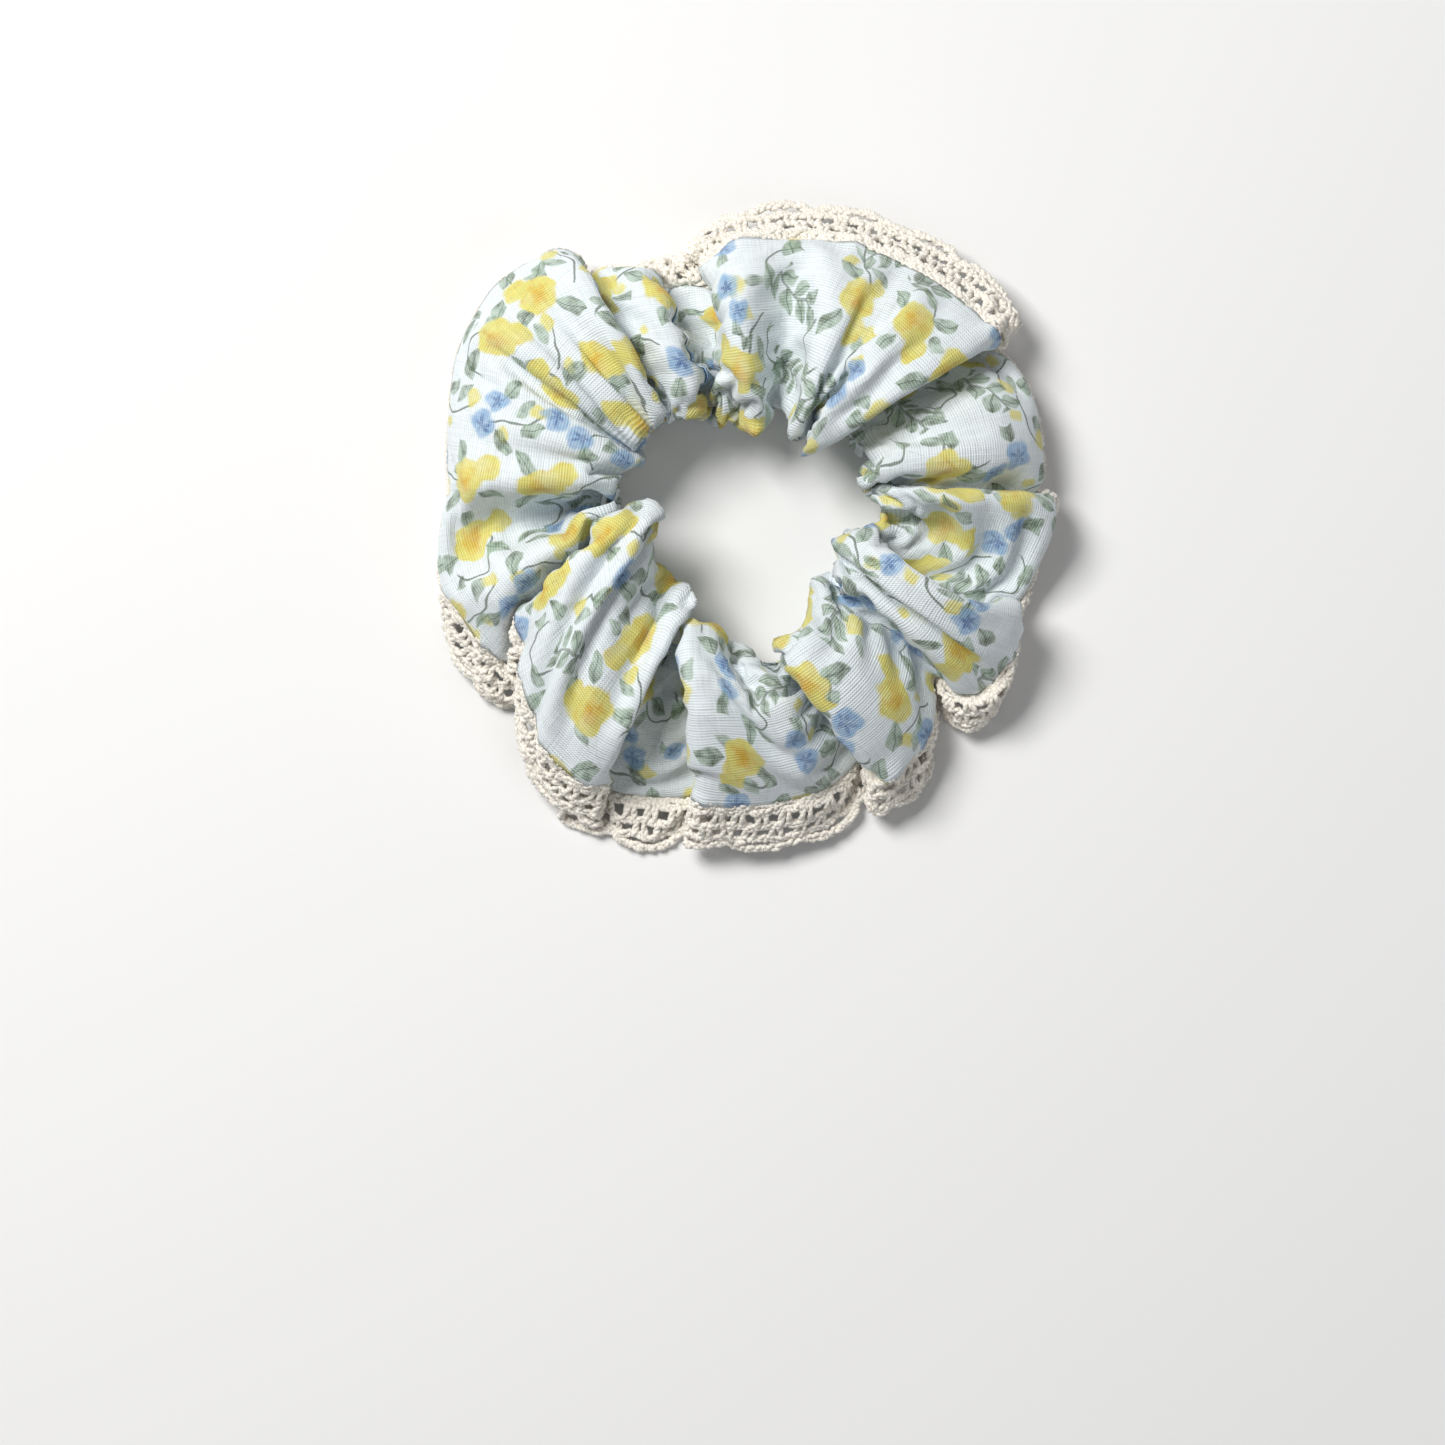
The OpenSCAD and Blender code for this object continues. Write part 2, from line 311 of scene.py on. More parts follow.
def settle(start, end, weight):
    """Leads a cloth band from start to end with Blender's Cloth and returns its points at rest, in mm."""
    scale = SIM_SCALE * MM
    mesh = bpy.data.meshes.new("band")
    mesh.from_pydata((start.reshape(-1, 3) * scale).tolist(), [], band_faces())
    band = bpy.data.objects.new("band", mesh)
    bpy.context.collection.objects.link(band)
    band.shape_key_add(name="Basis")
    key = band.shape_key_add(name="end")
    key.data.foreach_set("co", end.reshape(-1) * scale)
    for frame_number, value in ((1, 0), (MOVE_FRAMES, 1)):
        key.value = value
        key.keyframe_insert("value", frame=frame_number)
    for curve in mesh.shape_keys.animation_data.action.fcurves:
        for point in curve.keyframe_points:
            point.interpolation = "LINEAR"
    group = band.vertex_groups.new(name="grip")
    for index, value in enumerate(weight.reshape(-1)):
        if value > 0:
            group.add([index], float(value), "REPLACE")

    cloth = band.modifiers.new("Cloth", "CLOTH")
    cloth.point_cache.frame_end = MOVE_FRAMES + REST_FRAMES
    feel = cloth.settings
    feel.quality = 5
    feel.mass = 0.3
    feel.tension_stiffness = 15
    feel.compression_stiffness = 15
    feel.shear_stiffness = 5
    feel.bending_stiffness = 5
    feel.tension_damping = 5
    feel.compression_damping = 5
    feel.shear_damping = 5
    feel.bending_damping = 0.5
    feel.air_damping = 1.5
    feel.vertex_group_mass = "grip"
    feel.pin_stiffness = 1
    feel.effector_weights.gravity = 0.4
    touch = cloth.collision_settings
    touch.use_collision = True
    touch.use_self_collision = True
    touch.self_distance_min = 0.016
    touch.distance_min = 0.012
    touch.collision_quality = 3
    touch.self_friction = 3

    ground = plane("ground", GROUND_REACH)
    ground_mesh = ground.data
    ground.modifiers.new("Collision", "COLLISION")
    ground.collision.thickness_outer = 0.01
    ground.collision.cloth_friction = 5

    scene = bpy.context.scene
    scene.frame_start, scene.frame_end = 1, MOVE_FRAMES + REST_FRAMES
    for frame_number in range(1, MOVE_FRAMES + REST_FRAMES + 1):
        scene.frame_set(frame_number)
    evaluated = band.evaluated_get(bpy.context.evaluated_depsgraph_get())
    points = np.zeros(ROWS * GRID * 3)
    evaluated.data.vertices.foreach_get("co", points)
    action = mesh.shape_keys.animation_data.action
    bpy.data.objects.remove(band)
    bpy.data.objects.remove(ground)
    bpy.data.meshes.remove(mesh)
    bpy.data.meshes.remove(ground_mesh)
    bpy.data.actions.remove(action)
    scene.frame_set(1)
    return points.reshape(ROWS, GRID, 3) / scale


shape = settle(round_start(), laid_out(), grip())


def eased(grid, rounds):
    """Takes the solver's small lumps out of the layers, least near the inner fold's gathers."""
    tube = grid[:, :COLUMNS].copy()
    away = np.abs(np.arange(COLUMNS)[None, :] - fold_column[:, None])
    weight = np.clip(away / 9, 0.1, 1)[..., None] * 0.5
    weight[:, 0] = 0
    for _ in range(rounds):
        beside = np.roll(tube, 1, axis=0) + np.roll(tube, -1, axis=0)
        across_it = np.roll(tube, 1, axis=1) + np.roll(tube, -1, axis=1)
        tube += ((beside + across_it) / 4 - tube) * weight
    return np.concatenate([tube, grid[:, COLUMNS:]], axis=1)


def over_elastic(grid):
    """Lets the layers rest on the elastic: the upper above it, the lower below, the fold inside it."""
    grid = grid.copy()
    wrap_columns, half_w, half_h = 2, 4.0, ELASTIC_W / 2 + 1.4
    from_fold = np.arange(COLUMNS)[None, :] - fold_column[:, None]
    tube = grid[:, :COLUMNS]
    radius = np.hypot(tube[..., 0], tube[..., 1])
    pull = np.where(np.abs(from_fold) <= wrap_columns, np.minimum(1, (ELASTIC_R - FOLD_GAP) / radius), 1)
    tube[..., :2] *= pull[..., None]
    arch = half_h * np.sqrt(np.clip(1 - ((radius - ELASTIC_R) / half_w) ** 2, 0, None))
    above = (from_fold < -wrap_columns) & (arch > 0)
    below = (from_fold > wrap_columns) & (arch > 0)
    tube[..., 2] = np.where(above, np.maximum(tube[..., 2], ELASTIC_Z + arch), tube[..., 2])
    tube[..., 2] = np.where(below, np.minimum(tube[..., 2], ELASTIC_Z - arch), tube[..., 2])
    return grid


shape = eased(over_elastic(shape), 1)

# -------- smooth surfaces from grids
CLOTH_REST = 0.35       # height of the cloth's middle above the floor where it lies on it
LACE_REST = 0.95


def refined(grid, times, axis, closed):
    """A grid with more rows (axis 0) or columns (axis 1), along smooth curves through its points."""
    g = np.moveaxis(grid, axis, 0)
    if closed:
        a, b, c, d = (np.roll(g, -k, axis=0) for k in (-1, 0, 1, 2))
    else:
        padded = np.concatenate([2 * g[:1] - g[1:2], g, 2 * g[-1:] - g[-2:-1]])
        a, b, c, d = padded[:-3], padded[1:-2], padded[2:-1], padded[3:]
    steps = [spline(a, b, c, d, k / times) for k in range(times)]
    fine = np.stack(steps, axis=1).reshape(-1, *g.shape[1:])
    if not closed:
        fine = np.concatenate([fine, g[-1:]])
    return np.moveaxis(fine, 0, axis)


def unit(v):
    """Vectors of length 1, the same way as v."""
    return v / np.maximum(np.linalg.norm(v, axis=-1, keepdims=True), 1e-9)


class Surface:
    """A grid that is closed along its rows: s is mm along the strip, c a position across, by column."""

    def __init__(self, grid, length, side=1):
        self.grid = grid
        self.length = length
        along = np.roll(grid, -1, axis=0) - np.roll(grid, 1, axis=0)
        self.normals = unit(np.cross(along, np.gradient(grid, axis=1))) * side

    def at(self, s, c, lift=0.0):
        """Points on the surface, moved off it by lift, with the normals there."""
        rows, columns = self.grid.shape[:2]
        row = np.asarray(s, float) / self.length * rows
        i, column = np.floor(row).astype(int), np.clip(c, 0, columns - 1.001)
        j = np.floor(column).astype(int)
        fi, fj = (row - i)[..., None], (column - j)[..., None]
        i, k = i % rows, (i + 1) % rows

        def mixed(g):
            near = g[i, j] * (1 - fi) + g[k, j] * fi
            far = g[i, j + 1] * (1 - fi) + g[k, j + 1] * fi
            return near * (1 - fj) + far * fj

        normal = unit(mixed(self.normals))
        return mixed(self.grid) + normal * np.asarray(lift, float)[..., None], normal


# -------- mesh making


class Mesher:
    """Collects points, faces and their UV corners, and makes one smooth-shaded object of them."""

    def __init__(self):
        self.points, self.faces, self.corners = [], [], []
        self.count = 0

    def sheet(self, grid, uv):
        """A grid of quads, open at both ends."""
        rows, columns = grid.shape[:2]
        self.points.append(grid.reshape(-1, 3))
        for i in range(rows - 1):
            a, b = self.count + i * columns, self.count + (i + 1) * columns
            for j in range(columns - 1):
                self.faces.append((a + j, b + j, b + j + 1, a + j + 1))
                self.corners += [uv[i, j], uv[i + 1, j], uv[i + 1, j + 1], uv[i, j + 1]]
        self.count += rows * columns

    def tube(self, line, normals, radius, sides=6, closed=False):
        """A round yarn along a line. Its UV runs in metres along and once round."""
        n = len(line)
        if closed:
            tangent = unit(np.roll(line, -1, axis=0) - np.roll(line, 1, axis=0))
        else:
            tangent = unit(np.gradient(line, axis=0))
        side = unit(np.cross(tangent, normals))
        up = np.cross(side, tangent)
        turn = np.arange(sides) / sides * 2 * np.pi
        ring = side[:, None] * np.cos(turn)[None, :, None] + up[:, None] * np.sin(turn)[None, :, None]
        radii = np.broadcast_to(radius, n)[:, None, None]
        self.points.append((line[:, None] + ring * radii).reshape(-1, 3))
        step = np.linalg.norm(np.roll(line, -1, axis=0) - line, axis=1)
        run = np.concatenate([[0], np.cumsum(step)]) * MM
        base = self.count
        for i in range(n if closed else n - 1):
            a, b = base + i * sides, base + (i + 1) % n * sides
            for k in range(sides):
                m = (k + 1) % sides
                self.faces.append((a + k, a + m, b + m, b + k))
                self.corners += [(run[i], k / sides), (run[i], (k + 1) / sides),
                                 (run[i + 1], (k + 1) / sides), (run[i + 1], k / sides)]
        if not closed:
            for start, order in ((base, range(sides - 1, -1, -1)), (base + (n - 1) * sides, range(sides))):
                self.faces.append(tuple(start + k for k in order))
                self.corners += [(0, k / sides) for k in order]
        self.count += n * sides

    def make(self, name):
        """The object, its millimetres scaled to metres."""
        mesh = bpy.data.meshes.new(name)
        mesh.from_pydata((np.vstack(self.points) * MM).tolist(), [], self.faces)
        layer = mesh.uv_layers.new(name="UVMap")
        layer.data.foreach_set("uv", np.array(self.corners, float).reshape(-1))
        mesh.polygons.foreach_set("use_smooth", [True] * len(self.faces))
        mesh.update()
        piece = bpy.data.objects.new(name, mesh)
        bpy.context.collection.objects.link(piece)
        return piece


# -------- the cover
REFINE = 2              # finer grids than the simulation's
LACE_REFINE = 3
SEAM_GAP = 0.55         # from the middle of the lace to each cloth edge, at the rim
LAP_ROWS = 11           # the strip's end laps over its beginning by about 13 mm of fine rows
LAP_LIFT = 0.5

upper_next, lower_next = shape[:, 1], shape[:, COLUMNS - 1]
heart = (upper_next + lower_next) / 2
deep_heart = (shape[:, 2] + shape[:, COLUMNS - 2]) / 2
rim_now = shape[:, 0]

# The lace's grid starts inside the seam, between the two turned-in edges, and runs on a little past its
# simulated edge, so that the scallops have room.
fringe = shape[:, -1] + (shape[:, -1] - shape[:, -2]) * 0.8
lace_columns = np.stack([heart, rim_now, *(shape[:, COLUMNS + f] for f in range(FIN)), fringe], axis=1)
lace_grid = refined(refined(lace_columns, LACE_REFINE, 1, False), LACE_REFINE + 1, 0, True)
lace_grid[..., 2] = np.maximum(lace_grid[..., 2], LACE_REST)
lace = Surface(lace_grid, STRIP_L, side=-1)
LACE_STEP = LACE_W / FIN


def lace_column(t):
    """Column of the lace's grid at t mm out of the seam."""
    return LACE_REFINE + np.asarray(t, float) / LACE_STEP * LACE_REFINE


def toward(centre, point, reach):
    """A point on the way from centre, by no more than reach."""
    way = point - centre
    far = np.maximum(np.linalg.norm(way, axis=1, keepdims=True), 1e-9)
    return centre + way * np.minimum(0.3, reach / far)


stations = np.arange(ROWS) * STRIP_L / ROWS
edge_up, _ = lace.at(stations, lace_column(np.zeros(ROWS)), np.full(ROWS, SEAM_GAP))
edge_down, _ = lace.at(stations, lace_column(np.zeros(ROWS)), np.full(ROWS, -SEAM_GAP))
cover_columns = np.concatenate([
    toward(deep_heart, shape[:, 2], 0.8)[:, None],
    toward(heart, upper_next, 0.6)[:, None],
    edge_up[:, None],
    shape[:, 1:COLUMNS],
    edge_down[:, None],
    toward(heart, lower_next, 0.6)[:, None],
    toward(deep_heart, shape[:, COLUMNS - 2], 0.8)[:, None],
], axis=1)
across = np.concatenate([
    [0, ALLOWANCE / 2],
    ALLOWANCE + np.linspace(0, STRIP_W, COLUMNS + 1),
    ALLOWANCE + STRIP_W + np.array([ALLOWANCE / 2, ALLOWANCE]),
])

first_row = int(np.argmin(np.linalg.norm(rim - np.array(RIBS[CLOSING_RIB][0]), axis=1)))
cover_columns = np.roll(cover_columns, -first_row, axis=0)
cover_grid = refined(refined(cover_columns, REFINE, 1, False), REFINE, 0, True)
across = np.interp(np.arange(cover_grid.shape[1]) / REFINE, np.arange(len(across)), across)
cover_rows = len(cover_grid)
cover_step = STRIP_L / cover_rows


def gathers(grid):
    """Fine creases that run out from the elastic, deepest at the inner fold."""
    rng = np.random.default_rng(11)
    along = np.arange(len(grid))[:, None] / len(grid) * 2 * np.pi
    over = (across / (STRIP_W + 2 * ALLOWANCE))[None, :] * 2 * np.pi
    crease = np.zeros(grid.shape[:2])
    for _ in range(14):
        crease += np.cos(int(rng.integers(90, 190)) * along + rng.uniform(-1.2, 1.2) * over
                         + rng.uniform(0, 2 * np.pi))
    from_fold = np.abs(across - (STRIP_W / 2 + ALLOWANCE))
    depth = 0.02 + 0.17 * np.exp(-(from_fold / 12) ** 2)
    depth *= np.clip((across - ALLOWANCE) / 6, 0, 1) * np.clip((STRIP_W + ALLOWANCE - across) / 6, 0, 1)
    return crease / math.sqrt(14) * depth[None, :]


cover_surface = Surface(cover_grid, STRIP_L)
cover_grid = cover_grid + cover_surface.normals * gathers(cover_grid)[..., None]
cover_grid[..., 2] = np.maximum(cover_grid[..., 2], CLOTH_REST)
cover_surface = Surface(cover_grid, STRIP_L)

lap_rise = np.concatenate([[0.5], np.ones(LAP_ROWS)]) * LAP_LIFT
lap = cover_grid[:LAP_ROWS + 1] + cover_surface.normals[:LAP_ROWS + 1] * lap_rise[:, None, None]
open_strip = np.concatenate([cover_grid, lap])
along = np.arange(len(open_strip)) * cover_step
strip_uv = np.stack(np.meshgrid(along, across, indexing="ij"), axis=-1) * MM
mesher = Mesher()
mesher.sheet(open_strip, strip_uv)
cover = mesher.make("printed_cover")
thick = cover.modifiers.new("thickness", "SOLIDIFY")
thick.thickness = CLOTH_T * MM
thick.offset = 0

# -------- the crocheted lace
SCALLOPS = 45
PITCH = STRIP_L / SCALLOPS
UNITS = 3               # holes across each scallop
UNIT = PITCH / UNITS
YARN_R = 0.45
POST_COIL = 0.27        # from a post's middle to each of its two yarns
HEADING_T = (0.3, 1.4)  # rows of braid, in mm out of the seam
MIDDLE_T = 4.6
OUTER_T = 7.4
VALLEY_T = 7.5
PEAK_T = 9.8


def wander(s, reach, waves, seed):
    """A slow irregular drift along the lace."""
    rng = np.random.default_rng(seed)
    drift = np.zeros_like(s)
    for _ in range(4):
        count = int(rng.integers(waves, 3 * waves))
        drift = drift + np.sin(2 * np.pi * count * s / STRIP_L + rng.uniform(0, 2 * np.pi))
    return drift * reach / 2


def scallop_edge(s):
    """How far out the lace's worn edge is at s mm along it."""
    round_edge = VALLEY_T + (PEAK_T - VALLEY_T) * np.abs(np.sin(np.pi * s / PITCH)) ** 0.7
    return round_edge + wander(s, 0.35, 25, 90)


def braid(mesher, edge, period, width, depth, radius, seed):
    """Three yarns plaited round the whole lace, along a line edge(s) mm out of the seam."""
    spacing = 0.56
    count = int(STRIP_L / spacing)
    s = np.arange(count) / count * STRIP_L
    turns = round(STRIP_L / period)
    slip = wander(s, 0.9, 60, seed)
    for strand in range(3):
        phase = 2 * np.pi * (turns * s / STRIP_L + strand / 3) + slip
        t = edge(s) + width * np.sin(phase) + wander(s, 0.16, 60, seed + strand + 1)
        lift = depth * np.sin(2 * phase) + wander(s, 0.14, 70, seed + strand)
        line, normals = lace.at(s, lace_column(t), lift)
        mesher.tube(line, normals, radius * (1 + wander(s, 0.12, 120, seed + strand + 7)), closed=True)


def post(mesher, s0, t0, s1, t1, turns, phase, radius):
    """Two yarns twisted round each other, from one row of the crochet to the next."""
    q = np.linspace(0, 1, 7)
    for strand in range(2):
        angle = 2 * np.pi * turns * q + phase + strand * np.pi
        s = s0 + (s1 - s0) * q + POST_COIL * np.cos(angle)
        t = t0 + (t1 - t0) * q
        line, normals = lace.at(s, lace_column(t), POST_COIL * np.sin(angle))
        mesher.tube(line, normals, radius)


def crochet():
    """Rows of braid, joined by pairs of twisted posts that open outwards like a V."""
    rng = np.random.default_rng(5)
    m = Mesher()
    for number, row in enumerate((*HEADING_T, MIDDLE_T, OUTER_T)):
        braid(m, lambda s: row + wander(s, 0.25, 40, 60 + number), 3.7, 0.46, 0.3, YARN_R, 20 * number)
    braid(m, scallop_edge, 3.4, 0.58, 0.34, YARN_R * 1.08, 100)
    for unit_number in range(SCALLOPS * UNITS):
        for low, high, middle in ((HEADING_T[1], MIDDLE_T, 0.5), (MIDDLE_T, OUTER_T, 0.0)):
            centre = (unit_number + middle) * UNIT + rng.uniform(-0.35, 0.35)
            lean = rng.uniform(-0.4, 0.4)
            for side in (-1, 1):
                foot = centre + side * 0.5 + rng.uniform(-0.12, 0.12)
                head = centre + side * 0.9 + lean + rng.uniform(-0.15, 0.15)
                post(m, foot, low, head, high, rng.uniform(0.5, 0.9), rng.uniform(0, 6.28),
                     YARN_R * rng.uniform(0.92, 1.1))
    return m.make("crochet_lace")


lace_piece = crochet()

# -------- threads in the seams


def lace_seam():
    """A lockstitch row through the turned-in edges and the lace's heading, just inside the rim."""
    stitch = 2.5
    count = int(STRIP_L / 0.4)
    s = np.arange(count) / count * STRIP_L
    beat = np.abs(np.sin(np.pi * round(STRIP_L / stitch) * s / STRIP_L)) ** 0.4
    m = Mesher()
    for face in (1, -1):
        line, normals = lace.at(s, lace_column(np.full(count, -1.2)), face * (0.05 + 0.42 * beat))
        m.tube(line, normals, THREAD_R, closed=True)
    return m.make("lace_seam_thread")


def closing_seam():
    """Straight stitches across the tube where the strip's end laps over its beginning."""
    stitch, gap = 2.3, 0.6
    s = (LAP_ROWS - 2.5) * cover_step
    m = Mesher()
    start = ALLOWANCE + 2
    while start + stitch < ALLOWANCE + STRIP_W - 2:
        q = np.linspace(0, 1, 9)
        column = np.interp(start + stitch * q, across, np.arange(len(across)))
        lift = LAP_LIFT + CLOTH_T / 2 - 0.12 + 0.25 * np.sin(np.pi * q) ** 0.5
        line, normals = cover_surface.at(np.full(9, s), column, lift)
        m.tube(line, normals, THREAD_R, sides=8)
        start += stitch + gap
    return m.make("closing_seam_thread")


# -------- the elastic
def elastic_line():
    """A slightly uneven ring inside the tube, a little way out from the inner fold."""
    turn = np.arange(90) / 90 * 2 * np.pi
    radius = ELASTIC_R + 0.25 * np.sin(3 * turn + 1) + 0.15 * np.sin(5 * turn)
    height = ELASTIC_Z + 0.2 * np.sin(2 * turn + 2) + 0.15 * np.sin(5 * turn + 1)
    return closed_curve(np.stack([radius * np.cos(turn), radius * np.sin(turn), height], axis=1), 240)


elastic_ring, elastic_length = elastic_line()
RIBS_IN_ELASTIC = 9


def ring_at(distance):
    """Points and outward directions on the elastic's ring, at distances in mm along it."""
    row = distance / elastic_length * len(elastic_ring)
    i = np.floor(row).astype(int)
    f = (row - i)[:, None]
    n = len(elastic_ring)
    point = elastic_ring[i % n] * (1 - f) + elastic_ring[(i + 1) % n] * f
    along = unit(elastic_ring[(i + 3) % n] - elastic_ring[(i - 3) % n])
    out = unit(np.cross(along, np.array([0, 0, 1.0])))
    return point, out


def elastic_shift(distance):
    """How far out the band lies: its last stretch laps over the outside of its first."""
    return (ELASTIC_T + 0.15) * np.clip((distance - elastic_length + 5) / 5, 0, 1)


def elastic_band():
    """Flat braided elastic with lengthwise ribs, one end lapped over the other."""
    distance = np.linspace(0, elastic_length + ELASTIC_LAP, 300)
    point, out = ring_at(distance)
    point = point + out * elastic_shift(distance)[:, None]
    steps = RIBS_IN_ELASTIC * 4
    w = np.linspace(-1, 1, steps + 1)
    rib = 0.10 * np.abs(np.sin(np.pi * (w + 1) / 2 * RIBS_IN_ELASTIC))
    half = ELASTIC_T / 2 * np.clip(1 - np.abs(w) ** 14, 0.25, 1) - 0.10 + rib
    profile = np.concatenate([np.stack([half, w * ELASTIC_W / 2], 1),
                              np.stack([-half, w * ELASTIC_W / 2], 1)[::-1]])
    profile = np.vstack([profile, profile[:1]])
    up = np.array([0, 0, 1.0])
    wave = 0.04 * np.sin(distance * 2 * np.pi / 1.6)[:, None]
    lift = profile[None, :, 0] + wave * np.sign(profile[None, :, 0])
    grid = point[:, None] + out[:, None] * lift[..., None] + up * profile[None, :, 1, None]
    girth = np.linspace(0, 2 * (ELASTIC_W + ELASTIC_T), len(profile))
    uv = np.stack(np.meshgrid(distance, girth, indexing="ij"), axis=-1) * MM
    m = Mesher()
    m.sheet(grid, uv)
    ends = len(profile) - 1
    last = (len(distance) - 1) * len(profile)
    for start, order in ((0, range(ends)), (last, range(ends - 1, -1, -1))):
        m.faces.append(tuple(start + k for k in order))
        m.corners += [(0, girth[k] * MM) for k in order]
    return m.make("elastic_ring")


def elastic_zigzag():
    """The zigzag that sews the elastic's lapped ends together."""
    turns, reach = 7, ELASTIC_W / 2 - 0.8
    start, end = elastic_length + 0.8, elastic_length + ELASTIC_LAP - 0.8
    q = np.linspace(0, 1, turns * 10 + 1)
    distance = start + (end - start) * q
    saw = np.abs((q * turns) % 2 - 1) * 2 - 1
    point, out = ring_at(distance)
    point = point + out * (elastic_shift(distance) + ELASTIC_T / 2 + 0.04)[:, None]
    point[:, 2] += saw * reach
    m = Mesher()
    m.tube(point, out, THREAD_R, sides=8)
    return m.make("elastic_zigzag")


seam_piece = lace_seam()
closing_piece = closing_seam()
elastic_piece = elastic_band()
zigzag_piece = elastic_zigzag()

# -------- materials


def linear(red, green, blue):
    """A colour from its everyday 0 to 255 values."""
    return tuple(((v / 255 + 0.055) / 1.055) ** 2.4 for v in (red, green, blue)) + (1,)


class Field:
    """A number that varies over a surface, carried by a node's output."""

    def __init__(self, tree, socket):
        self.tree = tree
        self.socket = socket

    def math(self, kind, *others):
        """The field that a Math node makes of this one and the others."""
        node = self.tree.nodes.new("ShaderNodeMath")
        node.operation = kind
        for slot, value in zip(node.inputs, (self, *others)):
            if isinstance(value, Field):
                self.tree.links.new(value.socket, slot)
            else:
                slot.default_value = value
        return Field(self.tree, node.outputs[0])

    def __add__(self, other):
        return self.math("ADD", other)

    def __sub__(self, other):
        return self.math("SUBTRACT", other)

    def __mul__(self, other):
        return self.math("MULTIPLY", other)

    def __truediv__(self, other):
        return self.math("DIVIDE", other)

    def __mod__(self, other):
        return self.math("FLOORED_MODULO", other)

    def capped(self):
        return self.math("MINIMUM", 1)

    def sin(self):
        return self.math("SINE")

    def cos(self):
        return self.math("COSINE")

    def abs(self):
        return self.math("ABSOLUTE")

    def over(self, low, high):
        """0 below low, 1 above high, smooth between."""
        node = self.tree.nodes.new("ShaderNodeMapRange")
        node.interpolation_type = "SMOOTHSTEP"
        self.tree.links.new(self.socket, node.inputs["Value"])
        node.inputs["From Min"].default_value = low
        node.inputs["From Max"].default_value = high
        return Field(self.tree, node.outputs["Result"])


def new_material(name, roughness, sheen):
    """A cloth-like material, with its node tree and its shader."""
    material = bpy.data.materials.new(name)
    material.use_nodes = True
    tree = material.node_tree
    shader = tree.nodes["Principled BSDF"]
    shader.inputs["Roughness"].default_value = roughness
    shader.inputs["Sheen Weight"].default_value = sheen
    shader.inputs["Sheen Roughness"].default_value = 0.5
    shader.inputs["Specular IOR Level"].default_value = 0.25
    return material, tree, shader


def strip_position(tree):
    """Millimetres along and across the flat piece, from its UV."""
    uv = tree.nodes.new("ShaderNodeUVMap")
    uv.uv_map = "UVMap"
    split = tree.nodes.new("ShaderNodeSeparateXYZ")
    tree.links.new(uv.outputs[0], split.inputs[0])
    return Field(tree, split.outputs[0]) * 1000, Field(tree, split.outputs[1]) * 1000


def vector(tree, x, y):
    """The socket of a vector made of two fields."""
    node = tree.nodes.new("ShaderNodeCombineXYZ")
    tree.links.new(x.socket, node.inputs[0])
    tree.links.new(y.socket, node.inputs[1])
    return node.outputs[0]


def noise(tree, x, y, detail):
    """Soft random field with features about 1 unit wide."""
    node = tree.nodes.new("ShaderNodeTexNoise")
    node.noise_dimensions = "2D"
    node.inputs["Scale"].default_value = 1
    node.inputs["Detail"].default_value = detail
    tree.links.new(vector(tree, x, y), node.inputs["Vector"])
    return Field(tree, node.outputs["Fac"])


def blend_colour(tree, base, colour, amount, kind="MIX"):
    """base with colour over it; both are sockets or colour values."""
    node = tree.nodes.new("ShaderNodeMix")
    node.data_type = "RGBA"
    node.blend_type = kind
    tree.links.new(amount.socket, node.inputs["Factor"])
    for slot, value in ((node.inputs["A"], base), (node.inputs["B"], colour)):
        # the first sockets with these names are the float ones, so the colour ones are picked by type
        slot = [s for s in node.inputs if s.name == slot.name and s.type == "RGBA"][0]
        if isinstance(value, tuple):
            slot.default_value = value
        else:
            tree.links.new(value, slot)
    return [s for s in node.outputs if s.type == "RGBA"][0]


def bump(tree, height, distance):
    """A bumped normal, with the height's 0 to 1 as distance in metres."""
    node = tree.nodes.new("ShaderNodeBump")
    node.inputs["Strength"].default_value = 1
    node.inputs["Distance"].default_value = distance
    tree.links.new(height.socket, node.inputs["Height"])
    return node.outputs[0]


def stroke(off, half, blur):
    """1 where off is less than half a line's width, with a soft edge."""
    return (off * -1 + half).over(0, blur)


def blob(x, y, cx, cy, radius, lobes, depth):
    """A round watercolour shape with lobes; also how far in the point is, 0 at the middle to 1."""
    dx, dy = x - cx, y - cy
    far = (dx * dx + dy * dy).math("SQRT")
    edge = (dy.math("ARCTAN2", dx) * (lobes / 2)).cos().abs() * (depth * radius) + (1 - depth) * radius
    return (edge - far).over(-0.3, 0.65), far / edge


def leaf(x, y, cx, cy, degrees, length, width):
    """A pointed leaf from (cx, cy); also how far the point is from its vein."""
    c, s = math.cos(math.radians(degrees)), math.sin(math.radians(degrees))
    dx, dy = x - cx, y - cy
    along = ((dx * c + dy * s) / length).math("MAXIMUM", 0).capped()
    off = (dy * c - dx * s).abs()
    girth = (along * math.pi).sin().math("POWER", 0.7) * (width / 2)
    return (girth - off).over(-0.15, 0.4), off


